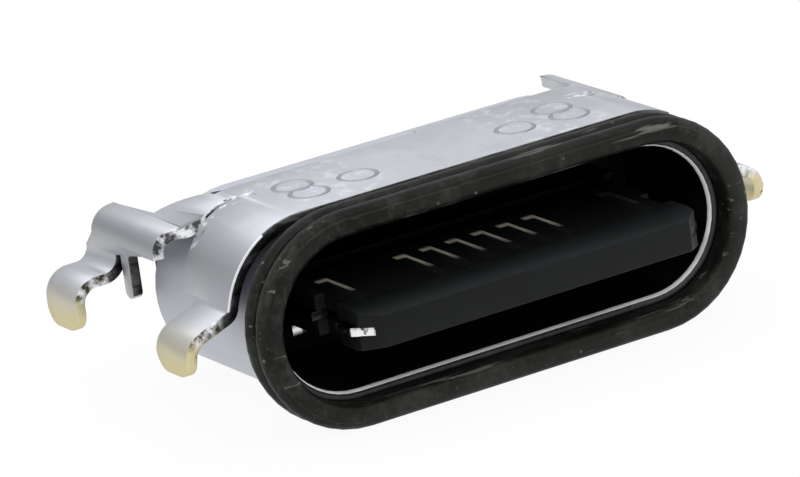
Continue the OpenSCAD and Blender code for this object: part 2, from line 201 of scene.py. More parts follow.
class Shade:
    """A material and the few node steps that these finishes are made of."""

    def __init__(self, name):
        self.material = bpy.data.materials.new(name)
        self.material.use_nodes = True
        self.tree = self.material.node_tree
        self.surface = self.tree.nodes["Principled BSDF"]
        self.place = self.add("ShaderNodeTexCoord").outputs["Object"]

    def add(self, kind, *sources, **settings):
        return new_node(self.tree, kind, *sources, **settings)

    # Textures

    def stretch(self, x, y, z):
        """The place, with each axis scaled, which draws a texture out along the smaller ones."""
        node = self.add("ShaderNodeMapping", self.place)
        node.inputs["Scale"].default_value = (x, y, z)
        return node.outputs["Vector"]

    def noise(self, scale, detail, rough, place=None):
        node = self.add("ShaderNodeTexNoise", place or self.place)
        node.inputs["Scale"].default_value = scale
        node.inputs["Detail"].default_value = detail
        node.inputs["Roughness"].default_value = rough
        return node.outputs["Fac"]

    def cells(self, scale):
        node = self.add("ShaderNodeTexVoronoi", self.place)
        node.inputs["Scale"].default_value = scale
        return node.outputs["Distance"]

    # Places

    def axis(self, name):
        return self.add("ShaderNodeSeparateXYZ", self.place).outputs[name]

    def aside(self):
        """Distance from the middle plane."""
        return self.figure("ABSOLUTE", self.axis("X"))

    # Numbers and masks

    def figure(self, operation, first, second=0.0):
        return self.add("ShaderNodeMath", first, second, operation=operation).outputs[0]

    def spread(self, value, low, high, to_low=0.0, to_high=1.0):
        """The value, with the range from low to high laid over another one and held at its ends."""
        node = self.add("ShaderNodeMapRange", value)
        for key, number in zip(("From Min", "From Max", "To Min", "To Max"), (low, high, to_low, to_high)):
            node.inputs[key].default_value = number
        return node.outputs["Result"]

    def product(self, first, *others):
        for other in others:
            first = self.figure("MULTIPLY", first, other)
        return first

    def greatest(self, first, *others):
        for other in others:
            first = self.figure("MAXIMUM", first, other)
        return first

    # Colours

    def blend(self, factor, first, second):
        node = self.add("ShaderNodeMix", factor, data_type="RGBA")
        feed(self.tree, node.inputs[MIX_FIRST], first)
        feed(self.tree, node.inputs[MIX_SECOND], second)
        return node.outputs[MIX_RESULT]

    def mottle(self, noise, colour, low, high, band=WIDE):
        """A colour that wanders between two strengths of itself."""
        return self.blend(self.spread(noise, *band), rgba(colour, low), rgba(colour, high))

    # Surface

    def relief(self, height, strength, distance):
        node = self.add("ShaderNodeBump")
        node.inputs["Strength"].default_value = strength
        node.inputs["Distance"].default_value = distance
        feed(self.tree, node.inputs["Height"], height)
        feed(self.tree, self.surface.inputs["Normal"], node.outputs["Normal"])

    def set(self, **values):
        """Sets or links the surface's sockets, by their plain names."""
        for key, value in values.items():
            feed(self.tree, self.surface.inputs[SURFACE_SOCKETS[key]], value)


# ---- finishes of the cover ----


def stamped_sheet(cover):
    """Satin stamped sheet: faint rolling grain, stains, weld marks, specks of painted reflection by the
    slits, painted shade on the upper sides and plated legs.
    """
    s = Shade("stamped_sheet")
    grain = s.noise(900.0, detail=3.0, rough=0.5, place=s.stretch(0.3, 1.0, 1.0))
    cloud = s.noise(640.0, detail=5.0, rough=0.65)
    stains = s.spread(s.noise(900.0, detail=6.0, rough=0.7), 0.52, 0.72)
    stains = s.product(stains, s.spread(s.aside(), *STAINS_ASIDE))
    base = s.mottle(cloud, cover.sheet_colour, 0.9, 1.04)
    base = s.blend(s.product(stains, 0.45), base, rgba(cover.sheet_colour, 0.6))
    base = s.blend(weld_marks(s), base, rgba(cover.sheet_colour, 1.3))
    # Painted shade: the upper sides that face outward are darkened
    base = s.blend(painted_side_shade(s), base, rgba(cover.sheet_colour, 0.68))
    # Painted reflection: dark and bright specks along the slit
    reflection_specks = s.noise(6500.0, detail=2.0, rough=0.5)
    by_slit = slit_zone(s)
    base = s.blend(s.product(s.spread(reflection_specks, 0.36, 0.31), by_slit), base, rgba(cover.edge_shade_colour))
    base = s.blend(s.product(s.spread(reflection_specks, 0.56, 0.62), by_slit), base, rgba(cover.highlight_colour))
    s.set(colour=s.blend(leg_plating(s, cloud), base, rgba(cover.plating_colour)), metal=1.0)
    s.set(rough=s.figure("ADD", s.spread(grain, *WIDE, 0.41, 0.49), s.product(stains, 0.15)))
    s.relief(s.figure("ADD", grain, s.product(stains, 0.6)), strength=0.04, distance=0.01 * MM)
    return s.material


def weld_marks(s):
    """Pale spatter on the plate's face round both groups of welds."""
    spots = s.spread(s.noise(3600.0, detail=4.0, rough=0.6), 0.52, 0.62)
    aside = s.aside()
    round_welds = s.product(s.spread(aside, *MARKS_INNER_ASIDE), s.spread(aside, *MARKS_OUTER_ASIDE))
    return s.product(spots, round_welds, s.spread(s.axis("Z"), *PLATE_FACE_HEIGHT, 0.0, 0.6))


def painted_side_shade(s):
    """Painted shade on the upper sides, where the sheet is bent down and faces outward."""
    normal = s.add("ShaderNodeTexCoord").outputs["Normal"]
    outward = s.product(s.add("ShaderNodeSeparateXYZ", normal).outputs["X"], s.figure("SIGN", s.axis("X")))
    return s.product(s.spread(outward, *SIDE_SHADE_SLOPE), s.spread(s.axis("Z"), *SIDE_SHADE_HEIGHT))


def slit_zone(s):
    """The band along the slit between strap and arm, where the cut edge's reflection is painted as dark and
    bright specks.
    """
    depth = s.axis("Y")
    along = s.product(s.spread(depth, *SLIT_FRONT_DEPTH), s.spread(depth, *SLIT_REAR_DEPTH))
    return s.product(along, s.spread(s.axis("Z"), *SLIT_HEIGHT), s.spread(s.aside(), *SLIT_ASIDE))


def leg_plating(s, cloud):
    """How much pale gold there is: none on the shoulders, full at the legs' tips."""
    low = s.spread(s.axis("Z"), *PLATING_HEIGHT)
    far_out = s.spread(s.aside(), *PLATING_ASIDE)
    return s.product(low, far_out, s.spread(cloud, 0.2, 0.5, 0.8, 1.0))


def sheared_edge(cover):
    """The sheet's cut sides: torn and darkened with painted shade; at legs and arms, dark or brown pits mixed
    with bright specks of painted glint; gold at the tips.
    """
    s = Shade("sheared_edge")
    torn = s.noise(1500.0, detail=5.0, rough=0.7, place=s.stretch(1.0, 0.3, 3.0))
    aside = s.aside()
    at_leg = s.spread(aside, *LEG_ASIDE)
    at_arm = s.product(s.spread(s.axis("Y"), *ARM_DEPTH), s.spread(s.axis("Z"), *ARM_HEIGHT))
    speckled = s.greatest(at_leg, s.product(at_arm, s.spread(aside, *ARM_ASIDE)))
    # Pits in the cut sides' painted shade colour, brown at the legs, mixed with bright specks that are
    # painted glints
    pit = s.blend(at_leg, rgba(cover.edge_shade_colour), rgba(cover.crumb_colour))
    crumb = s.spread(s.noise(6200.0, detail=3.0, rough=0.6), 0.40, 0.58)
    pits_and_glints = s.blend(crumb, pit, rgba(cover.highlight_colour))
    base = s.blend(speckled, s.mottle(torn, cover.edge_shade_colour, 0.5, 3.0, band=(0.42, 0.72)), pits_and_glints)
    tips = s.product(s.spread(s.axis("Z"), *TIP_HEIGHT), s.spread(aside, *TIP_ASIDE))
    unspotted = s.spread(s.noise(4200.0, detail=2.0, rough=0.5), 0.36, 0.42)
    gold = s.blend(unspotted, rgba(cover.crumb_colour, 3.0), rgba(cover.plating_colour, 1.05))
    s.set(colour=s.blend(tips, base, gold), metal=s.spread(speckled, 0.0, 1.0, 1.0, 0.6))
    s.set(rough=s.spread(torn, *WIDE, 0.3, 0.5))
    s.relief(torn, strength=0.35, distance=0.015 * MM)
    return s.material


def edge_highlight(cover):
    """A painted highlight: the bright line along the outer corner of a front edge."""
    s = Shade("edge_highlight")
    nicks = s.noise(1600.0, detail=3.0, rough=0.5)
    s.set(colour=s.mottle(nicks, cover.highlight_colour, 0.9, 1.0))
    s.set(metal=0.4, rough=s.spread(nicks, *WIDE, 0.3, 0.4))
    s.relief(nicks, strength=0.05, distance=0.005 * MM)
    return s.material


def weld_metal(cover):
    """Remelted sheet of a weld ring: smoother, blued by heat, with fine ripples."""
    s = Shade("weld_metal")
    ripple = s.noise(5200.0, detail=3.0, rough=0.6)
    heat = s.noise(1400.0, detail=2.0, rough=0.5)
    s.set(colour=s.mottle(heat, cover.weld_colour, 1.0, 0.72, band=NARROW))
    s.set(metal=1.0, rough=s.spread(ripple, *WIDE, 0.3, 0.5))
    s.relief(ripple, strength=0.4, distance=0.01 * MM)
    return s.material


# ---- finishes of the shell and the seal ----


def drawn_steel(shell):
    """Smooth drawn tube with faint die lines along its depth."""
    s = Shade("drawn_steel")
    lines = s.noise(300.0, detail=4.0, rough=0.6, place=s.stretch(14.0, 1.0, 14.0))
    wear = s.noise(700.0, detail=4.0, rough=0.6)
    s.set(colour=s.mottle(wear, shell.steel_colour, 0.92, 1.0))
    s.set(metal=1.0, rough=s.spread(lines, *WIDE, 0.56, 0.64))
    s.relief(lines, strength=0.03, distance=0.006 * MM)
    return s.material


def painted_rim_line(shell):
    """A painted highlight: the bright line on the inner corner of the tube's front edge."""
    s = Shade("painted_rim_line")
    nicks = s.noise(1200.0, detail=3.0, rough=0.5)
    s.set(colour=s.mottle(nicks, shell.rim_line_colour, 0.75, 1.0, band=(0.35, 0.5)))
    s.set(metal=0.0, rough=s.spread(nicks, *WIDE, 0.2, 0.3))
    s.relief(nicks, strength=0.04, distance=0.005 * MM)
    return s.material


def shaded_bore(shell):
    """Painted shade: the inside of the drawn tube, kept nearly black and dull."""
    s = Shade("shaded_bore")
    lines = s.noise(500.0, detail=4.0, rough=0.6, place=s.stretch(8.0, 1.0, 8.0))
    s.set(colour=s.mottle(lines, shell.bore_shade_colour, 0.7, 1.2))
    s.set(metal=1.0, rough=s.spread(lines, *WIDE, 0.32, 0.46))
    s.relief(lines, strength=0.04, distance=0.006 * MM)
    return s.material


def seal_rubber(seal):
    """Moulded silicone rubber: satin, with fine orange peel, grey scuffs, rubbed streaks and dust."""
    s = Shade("seal_rubber")
    peel = s.noise(2600.0, detail=4.0, rough=0.6)
    tone = s.noise(380.0, detail=4.0, rough=0.6)
    dusty = s.spread(s.noise(700.0, detail=3.0, rough=0.5), 0.46, 0.6)
    dust = s.product(s.spread(s.cells(3400.0), 0.13, 0.05), dusty)
    scuffs = s.noise(900.0, detail=8.0, rough=0.85, place=s.stretch(1.0, 2.0, 1.0))
    streaks = s.noise(1500.0, detail=3.0, rough=0.6, place=s.stretch(0.3, 4.0, 5.0))
    base = s.mottle(tone, seal.rubber_colour, 0.8, 1.25, band=NARROW)
    base = s.blend(s.spread(scuffs, 0.48, 0.66, 0.0, 0.9), base, rgba(seal.scuff_colour))
    base = s.blend(s.product(s.spread(streaks, 0.63, 0.68), 0.5), base, rgba(seal.dust_colour))
    s.set(colour=s.blend(s.product(dust, 0.75), base, rgba(seal.dust_colour)))
    s.set(rough=s.spread(tone, *WIDE, 0.38, 0.56), gleam=s.spread(tone, *WIDE, 0.12, 0.3))
    s.relief(s.figure("ADD", peel, s.product(dust, 0.8)), strength=0.14, distance=0.02 * MM)
    return s.material


# ---- finishes of the tongue, the contacts and the plates ----


def black_moulding(body, name, lift):
    """Glass-filled moulding: nearly black, matt, with a fine sparkle of flow marks."""
    s = Shade(name)
    flow = s.noise(900.0, detail=5.0, rough=0.65, place=s.stretch(0.35, 1.0, 1.0))
    grit = s.noise(4200.0, detail=3.0, rough=0.6)
    s.set(colour=s.mottle(flow, body.moulding_colour, 0.75 * lift, 1.2 * lift, band=NARROW))
    s.set(rough=s.spread(grit, *WIDE, 0.42, 0.58), gleam=0.16)
    s.relief(s.figure("ADD", grit, flow), strength=0.12, distance=0.015 * MM)
    return s.material


def cured_sealant(body):
    """Poured epoxy: semi-gloss with slow waves."""
    s = Shade("cured_sealant")
    wave = s.noise(600.0, detail=2.0, rough=0.4)
    s.set(colour=s.mottle(wave, body.sealant_colour, 0.8, 1.2))
    s.set(rough=s.spread(wave, *WIDE, 0.18, 0.3))
    s.relief(wave, strength=0.2, distance=0.05 * MM)
    return s.material


def contacts_plating_and_light(pins):
    """Pale gold over nickel on the tails and on a bright band of the mating strip, which is a painted
    highlight, and painted shade, nearly black, elsewhere.
    """
    s = Shade("contacts_plating_and_light")
    thin = s.noise(1200.0, detail=4.0, rough=0.6)
    scratch = s.noise(500.0, detail=4.0, rough=0.6, place=s.stretch(16.0, 1.0, 16.0))
    gold = s.blend(s.spread(thin, 0.4, 0.75), rgba(pins.plating_colour), rgba(pins.nickel_colour))
    # Painted shade over the contacts on the right
    shaded = s.spread(s.axis("X"), *SHADED_CONTACTS, 0.0, 0.97)
    tail_starts = s.spread(s.axis("Y"), pins.tail_from, pins.tail_from - BAND_AND_TAIL_FADE)
    # Painted shade: the contacts are kept nearly black outside their painted bright band, and the tails stay
    # gold
    painted_dark = s.product(s.greatest(contact_shade_mask(s, pins), shaded), tail_starts)
    s.set(colour=s.blend(painted_dark, gold, rgba(pins.contact_shade_colour)), metal=s.spread(painted_dark, 0.0, 1.0, 0.25, 0.0))
    s.set(rough=s.spread(scratch, *WIDE, 0.3, 0.45), gleam=0.2)
    s.relief(scratch, strength=0.08, distance=0.008 * MM)
    return s.material


def contact_shade_mask(s, pins):
    """Where a contact is painted dark as shade: all but a painted highlight tick across its band's rear end
    and a painted highlight line that fades forward.
    """
    across = s.figure("FRACT", s.figure("DIVIDE", s.axis("X"), pins.pitch))
    line = s.product(s.spread(across, *LINE_LEFT), s.spread(across, *LINE_RIGHT))
    depth = s.axis("Y")
    tick_from = pins.bright_band_to - pins.tick_length
    before_tick = s.spread(depth, tick_from + TICK_FADE, tick_from)
    beside_line = s.product(s.spread(line, 0.0, 1.0, 1.0, 0.0), before_tick)
    faded = s.spread(depth, tick_from, pins.bright_band_from)
    behind = s.spread(depth, pins.bright_band_to, pins.bright_band_to + BAND_AND_TAIL_FADE)
    return s.greatest(faded, beside_line, behind)


def plate_steel(name, tone):
    """Stamped plate of the tongue's core and of the grounds: a painted highlight along its outer sides,
    broken by dark spots, and painted shade, nearly black, elsewhere.
    """
    s = Shade(name)
    grain = s.noise(800.0, detail=4.0, rough=0.6, place=s.stretch(1.0, 6.0, 6.0))
    clear = s.spread(s.noise(4500.0, detail=3.0, rough=0.6), 0.42, 0.50)
    lit = s.product(clear, s.spread(s.aside(), *PLATE_SIDES_ASIDE))
    s.set(colour=s.blend(lit, rgba(tone, 0.08), s.mottle(grain, tone, 0.85, 1.0)))
    s.set(metal=1.0, rough=s.spread(grain, *WIDE, 0.22, 0.34))
    s.relief(grain, strength=0.06, distance=0.008 * MM)
    return s.material


# ---- mesh helpers ----


def dressed(node, name, materials, round_over=0.0):
    """A copy of a solid's mesh with its edges broken and its curves smooth, which stands for the solid."""
    mesh = NODES[node].data.copy()
    work = bmesh.new()
    work.from_mesh(mesh)
    bmesh.ops.remove_doubles(work, verts=work.verts, dist=SAME_CORNER)
    bmesh.ops.dissolve_limit(work, angle_limit=FLAT_WITHIN, verts=work.verts, edges=work.edges)
    work.to_mesh(mesh)
    work.free()
    mesh.materials.clear()
    for material in materials:
        mesh.materials.append(material)
    piece = bpy.data.objects.new(name, mesh)
    bpy.context.scene.collection.objects.link(piece)
    if round_over:
        break_edges(piece, round_over)
    smooth(piece.data, CREASE_FROM)
    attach(piece, "root")
    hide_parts(node)
    return piece


def break_edges(piece, round_over):
    """Rounds a piece's sharp edges over."""
    sharp = piece.data
    bevel = piece.modifiers.new("broken_edges", "BEVEL")
    bevel.width = round_over
    bevel.segments = EDGE_STEPS
    bevel.use_clamp_overlap = False
    bevel.limit_method = "ANGLE"
    bevel.angle_limit = EDGE_FROM
    rounded = bpy.data.meshes.new_from_object(piece.evaluated_get(bpy.context.evaluated_depsgraph_get()))
    piece.modifiers.clear()
    piece.data = rounded
    pull_back(rounded, sharp, round_over)


def pull_back(mesh, sharp, round_over):
    """Sets corners that the rounding threw off the sharp solid back on its surface."""
    corners = [vertex.co for vertex in sharp.vertices]
    tree = BVHTree.FromPolygons(corners, [tuple(face.vertices) for face in sharp.polygons])
    for vertex in mesh.vertices:
        place, _, _, far = tree.find_nearest(vertex.co)
        if far > round_over / 2:
            vertex.co = place


def smooth(mesh, crease):
    """Shades a mesh smooth, but for edges that turn by more than the crease angle."""
    for face in mesh.polygons:
        face.use_smooth = True
    mesh.set_sharp_from_angle(angle=crease)


def coat(node, material):
    """Puts a finish on a solid that is shown as it is."""
    NODES[node].data.materials.clear()
    NODES[node].data.materials.append(material)


def ring_mesh(name, middle_radius, wire, rise, around=48, across=8):
    """A low raised bead in a ring, flat underneath."""
    work = bmesh.new()
    rows = []
    for i in range(around):
        turn = 2 * math.pi * i / around
        row = []
        for j in range(across + 1):
            lean = math.pi * j / across
            r = middle_radius + wire * math.cos(lean)
            row.append(work.verts.new((r * math.cos(turn), r * math.sin(turn), rise * math.sin(lean))))
        rows.append(row)
    for i in range(around):
        here, there = rows[i], rows[(i + 1) % around]
        for j in range(across + 1):
            k = (j + 1) % (across + 1)
            work.faces.new((here[j], there[j], there[k], here[k]))
    bmesh.ops.recalc_face_normals(work, faces=work.faces)
    mesh = bpy.data.meshes.new(name)
    work.to_mesh(mesh)
    work.free()
    smooth(mesh, BEAD_CREASE_FROM)
    return mesh


# ---- settings ----


class SocketCover(bpy.types.PropertyGroup):
    """Colours, broken edges and welds of the stamped cover"""

    sheet_colour: bpy.props.FloatVectorProperty(
        name="Sheet", description="Colour of the stamped sheet", subtype="COLOR", size=3, min=0, max=1,
        default=(0.55, 0.565, 0.59))
    # Painted highlight colour: the front edge's bright line and the bright specks on cut sides and by the
    # slits
    highlight_colour: bpy.props.FloatVectorProperty(
        name="Rolled Corner", description="Colour of the bright corner of the front edge", subtype="COLOR",
        size=3, min=0, max=1, default=(0.90, 0.91, 0.93))
    crumb_colour: bpy.props.FloatVectorProperty(
        name="Torn Spots", description="Brown spots in the cut sides of the legs", subtype="COLOR",
        size=3, min=0, max=1, default=(0.07, 0.05, 0.02))
    # Painted shade: the cut sides are darkened for the shade and dark reflections they show
    edge_shade_colour: bpy.props.FloatVectorProperty(
        name="Cut Edge", description="Colour of the sheet's cut sides", subtype="COLOR", size=3, min=0, max=1,
        default=(0.07, 0.07, 0.072))
    plating_colour: bpy.props.FloatVectorProperty(
        name="Leg Plating", description="Pale gold on the board legs", subtype="COLOR", size=3, min=0, max=1,
        default=(0.63, 0.565, 0.335))
    weld_colour: bpy.props.FloatVectorProperty(
        name="Weld", description="Colour of the weld rings", subtype="COLOR", size=3, min=0, max=1,
        default=(0.43, 0.45, 0.50))
    broken_edge: bpy.props.FloatProperty(
        name="Broken Edge", description="Width of the broken edges of the sheet", unit="LENGTH",
        default=0.03 * MM, min=0.0, max=0.06 * MM)
    weld_radius: bpy.props.FloatProperty(
        name="Weld Radius", description="Middle radius of a weld ring", unit="LENGTH",
        default=0.32 * MM, min=0.0)
    weld_width: bpy.props.FloatProperty(
        name="Weld Bead", description="Half width of a weld ring's bead", unit="LENGTH",
        default=0.04 * MM, min=0.0)
    weld_rise: bpy.props.FloatProperty(
        name="Weld Rise", description="Height of the bead over the sheet", unit="LENGTH",
        default=0.012 * MM, min=0.0)
    outer_weld_x: bpy.props.FloatProperty(
        name="Outer Weld", description="Outer weld pair from the middle", unit="LENGTH", default=2.53 * MM)
    outer_weld_y: bpy.props.FloatProperty(
        name="Outer Weld Depth", description="Middle of the outer weld pair behind the seal's face",
        unit="LENGTH", default=COVER_LOW.y + 1.14 * MM)
    outer_weld_spacing: bpy.props.FloatProperty(
        name="Outer Weld Spacing", description="Distance between the rings of an outer pair", unit="LENGTH",
        default=0.56 * MM, min=0.0)
    inner_weld_x: bpy.props.FloatProperty(
        name="Inner Weld", description="Inner weld from the middle", unit="LENGTH", default=1.53 * MM)
    inner_weld_y: bpy.props.FloatProperty(
        name="Inner Weld Depth", description="Inner weld behind the seal's face", unit="LENGTH",
        default=COVER_LOW.y + 0.98 * MM)


class SocketShell(bpy.types.PropertyGroup):
    """Colours of the drawn shell, and its lit front edge"""

    steel_colour: bpy.props.FloatVectorProperty(
        name="Shell", description="Colour of the drawn shell", subtype="COLOR", size=3, min=0, max=1,
        default=(0.56, 0.58, 0.62))
    # Painted shade: the shell's inside is kept nearly black
    bore_shade_colour: bpy.props.FloatVectorProperty(
        name="Bore", description="Colour of the shell's inside", subtype="COLOR", size=3, min=0, max=1,
        default=(0.05, 0.05, 0.052))
    # Painted highlight colour of the front edge's inner corner
    rim_line_colour: bpy.props.FloatVectorProperty(
        name="Rim", description="Colour of the polished front corner", subtype="COLOR", size=3, min=0, max=1,
        default=(0.97, 0.97, 0.98))
    lit_edge: bpy.props.FloatProperty(
        name="Lit Edge", description="How much of the front edge stays bright", unit="LENGTH",
        default=0.040 * MM, min=0.0, max=0.2 * MM)


class SocketSeal(bpy.types.PropertyGroup):
    """Colours and edges of the rubber seal"""

    rubber_colour: bpy.props.FloatVectorProperty(
        name="Rubber", description="Colour of the seal", subtype="COLOR", size=3, min=0, max=1,
        default=(0.0050, 0.0050, 0.0032))
    scuff_colour: bpy.props.FloatVectorProperty(
        name="Scuffs", description="Greyed scuffs of the seal", subtype="COLOR", size=3, min=0, max=1,
        default=(0.038, 0.041, 0.033))
    dust_colour: bpy.props.FloatVectorProperty(
        name="Dust", description="Colour of dust and rubbed streaks on the seal", subtype="COLOR", size=3,
        min=0, max=1, default=(0.22, 0.22, 0.20))
    broken_edge: bpy.props.FloatProperty(
        name="Seal Edge", description="Width of the broken edges of the seal", unit="LENGTH",
        default=0.02 * MM, min=0.0, max=0.05 * MM)


class SocketBody(bpy.types.PropertyGroup):
    """Colours and edges of the tongue, carriers and sealant"""

    moulding_colour: bpy.props.FloatVectorProperty(
        name="Moulding", description="Colour of the tongue and housing", subtype="COLOR", size=3,
        min=0, max=1, default=(0.0055, 0.0062, 0.0066))
    sealant_colour: bpy.props.FloatVectorProperty(
        name="Sealant", description="Colour of the poured sealant", subtype="COLOR", size=3, min=0, max=1,
        default=(0.02, 0.018, 0.016))
    broken_edge: bpy.props.FloatProperty(
        name="Moulded Edge", description="Width of the broken edges of the moulding", unit="LENGTH",
        default=0.02 * MM, min=0.0, max=0.05 * MM)
    carrier_tone: bpy.props.FloatProperty(
        name="Carrier Tone", description="How light the carriers are beside the tongue", default=0.8,
        min=0.0, max=2.0)


class SocketPins(bpy.types.PropertyGroup):
    """Colours, edges and lengths of the contacts and plates: the contacts' painted bright band and plated
    tails, and where the plates' painted shade begins
    """

    plating_colour: bpy.props.FloatVectorProperty(
        name="Contact Plating", description="Pale gold of the contacts", subtype="COLOR", size=3,
        min=0, max=1, default=(0.95, 0.86, 0.64))
    nickel_colour: bpy.props.FloatVectorProperty(
        name="Nickel", description="Grey where the plating is thin", subtype="COLOR", size=3,
        min=0, max=1, default=(0.68, 0.66, 0.62))
    # Painted shade: the contacts' nearly black colour outside their bright band
    contact_shade_colour: bpy.props.FloatVectorProperty(
        name="Bare Strip", description="Dark finish of the contacts outside their plated band",
        subtype="COLOR", size=3, min=0, max=1, default=(0.0065, 0.007, 0.0075))
    pitch: bpy.props.FloatProperty(
        name="Pitch", description="Distance of one contact to the next", unit="LENGTH", default=0.5 * MM,
        min=0.1 * MM)
    # The contacts' bright band is a painted highlight
    bright_band_from: bpy.props.FloatProperty(
        name="Plated From", description="Where the contacts' plated band begins", unit="LENGTH",
        default=0.5 * MM)
    bright_band_to: bpy.props.FloatProperty(
        name="Plated To", description="Where the contacts' plated band ends", unit="LENGTH",
        default=1.45 * MM)
    tick_length: bpy.props.FloatProperty(
        name="Tick Length", description="Length of the bright tick at the plated band's rear end",
        unit="LENGTH", default=0.13 * MM, min=0.0)
    tail_from: bpy.props.FloatProperty(
        name="Tails From", description="Where the plated tails begin", unit="LENGTH", default=4.4 * MM)
    plate_colour: bpy.props.FloatVectorProperty(
        name="Plate", description="Bright metal of the plates", subtype="COLOR", size=3,
        min=0, max=1, default=(0.90, 0.90, 0.90))
    # Painted shade: the plates' dark metal deep in the mouth
    plate_shade_colour: bpy.props.FloatVectorProperty(
        name="Dulled Plate", description="The plates' metal deep in the mouth", subtype="COLOR", size=3,
        min=0, max=1, default=(0.035, 0.035, 0.036))
    # The core plate's painted highlight reaches no deeper than this
    bright_depth: bpy.props.FloatProperty(
        name="Bright Depth", description="Depth up to which the core plate is bright", unit="LENGTH",
        default=-0.1 * MM)
    broken_edge: bpy.props.FloatProperty(
        name="Plate Edge", description="Width of the broken edges of contacts and plates", unit="LENGTH",
        default=0.012 * MM, min=0.0, max=0.03 * MM)


class SocketStage(bpy.types.PropertyGroup):
    """Camera, floor and sky"""

    azimuth: bpy.props.FloatProperty(
        name="Azimuth", description="Camera's turn to the right round the part", subtype="ANGLE",
        default=math.radians(-28.56))
    elevation: bpy.props.FloatProperty(
        name="Elevation", description="Camera's height angle", subtype="ANGLE", default=math.radians(16.77))
    roll: bpy.props.FloatProperty(
        name="Roll", description="Camera's lean", subtype="ANGLE", default=math.radians(8.08))
    distance: bpy.props.FloatProperty(
        name="Distance", description="Camera's distance from the mouth's centre", unit="LENGTH",
        default=0.1)
    across: bpy.props.FloatProperty(
        name="View Width", description="Width of the view at the mouth", unit="LENGTH", default=13.05 * MM)
    offset_right: bpy.props.FloatProperty(
        name="Right", description="Mouth's centre right of the view's middle", unit="LENGTH",
        default=1.851 * MM)
    offset_up: bpy.props.FloatProperty(
        name="Up", description="Mouth's centre above the view's middle", unit="LENGTH",
        default=-0.568 * MM)
    floor_colour: bpy.props.FloatVectorProperty(
        name="Floor", description="Colour of the floor", subtype="COLOR", size=3, min=0, max=1,
        default=(0.92, 0.92, 0.92))
    floor_half: bpy.props.FloatProperty(
        name="Floor Half Width", description="Distance from the part to the floor's sides", unit="LENGTH",
        default=1.5, min=0.1)
    floor_gap: bpy.props.FloatProperty(
        name="Floor Gap", description="Gap between the part and the floor", unit="LENGTH",
        default=0.002 * MM, min=0.0)
    floor_glow: bpy.props.FloatProperty(
        name="Floor Glow", description="Share of its own white in the floor that is seen, beside its paint",
        default=0.93, min=0.0, max=1.0)
    low_sky_colour: bpy.props.FloatVectorProperty(
        name="Low Sky", description="Colour of the room at and below the horizon", subtype="COLOR", size=3,
        min=0, max=1, default=(0.58, 0.58, 0.59))
    high_sky_colour: bpy.props.FloatVectorProperty(
        name="High Sky", description="Colour of the room overhead", subtype="COLOR", size=3,
        min=0, max=1, default=(0.88, 0.89, 0.92))
    high_sky_from: bpy.props.FloatProperty(
        name="High Sky From", description="Height share above which the room has its overhead colour",
        default=0.75, min=0.0, max=1.0)


# ---- operators ----


class SOCKET_OT_cover(bpy.types.Operator):
    """Dress the stamped cover and lay its weld rings"""

    bl_idname = "socket.cover"
    bl_label = "Stamped Cover"

    def faces_out(self, face):
        """True where a face looks away from the line inside the shell that its side bends round."""
        x = face.center.x
        spine_x = math.copysign(min(abs(x), FLAT_HALF), x)
        return face.normal.dot(Vector((x - spine_x, 0, face.center.z))) > 0

    def finish_of(self, face):
        """Cut sides look forward or back, and the front edge's outer corner beside the mouth gets a painted
        highlight.
        """
        x, y, z = face.center
        if FRONT_SLANT[0] < face.normal.y < FRONT_SLANT[1] and y < COVER_LOW.y + FRONT_EDGE_DEPTH:
            at_side = z > CORNER_ABOVE and abs(x) > CORNER_BEYOND
            return LIT_CORNER if at_side and self.faces_out(face) else CUT_SIDE
        is_cut = abs(face.normal.y) > CUT_ALONG and abs(face.normal.z) < CUT_UPRIGHT
        return CUT_SIDE if is_cut else SHEET

    def weld_places(self, cover):
        """Middles of the rings: a pair on each side, then a single ring nearer the middle."""
        half = cover.outer_weld_spacing / 2
        for side in (-1, 1):
            for y in (cover.outer_weld_y + half, cover.outer_weld_y - half):
                yield side * cover.outer_weld_x, y
        for side in (-1, 1):
            yield side * cover.inner_weld_x, cover.inner_weld_y

    def execute(self, context):
        cover = context.scene.socket_cover
        finishes = (stamped_sheet(cover), sheared_edge(cover), edge_highlight(cover))
        piece = dressed("outer_cover", "stamped_cover", finishes, cover.broken_edge)
        for face in piece.data.polygons:
            face.material_index = self.finish_of(face)
        weld = weld_metal(cover)
        for number, (x, y) in enumerate(self.weld_places(cover), 1):
            mesh = ring_mesh("weld_ring_%d" % number, cover.weld_radius, cover.weld_width, cover.weld_rise)
            mesh.materials.append(weld)
            ring = bpy.data.objects.new("weld_ring_%d" % number, mesh)
            context.scene.collection.objects.link(ring)
            ring.location = (x, y, COVER_HIGH.z - WELD_SINK)
            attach(ring, "root")
        return {"FINISHED"}


class SOCKET_OT_shell(bpy.types.Operator):
    """Dress the drawn shell"""

    bl_idname = "socket.shell"
    bl_label = "Drawn Shell"

    def finish_of(self, face, lit_edge):
        """The outside is steel, the rest is painted dark as shade but for a painted highlight line at the
        front edge's inner corner.
        """
        aside = max(abs(face.center.x) - FLAT_HALF, 0.0)
        depth = SHELL_HIGH.z - math.hypot(aside, face.center.z)
        in_front = face.center.y < SHELL_LOW.y + SHELL_WALL / 2
        if in_front and SHELL_WALL - lit_edge < depth < SHELL_WALL - BORE_SKIN:
            return RIM
        return OUTSIDE if depth < OUTSIDE_SKIN else BORE

    def execute(self, context):
        shell = context.scene.socket_shell
        finishes = (drawn_steel(shell), shaded_bore(shell), painted_rim_line(shell))
        piece = dressed("inner_shell", "drawn_shell", finishes)
        for face in piece.data.polygons:
            face.material_index = self.finish_of(face, shell.lit_edge)
        return {"FINISHED"}


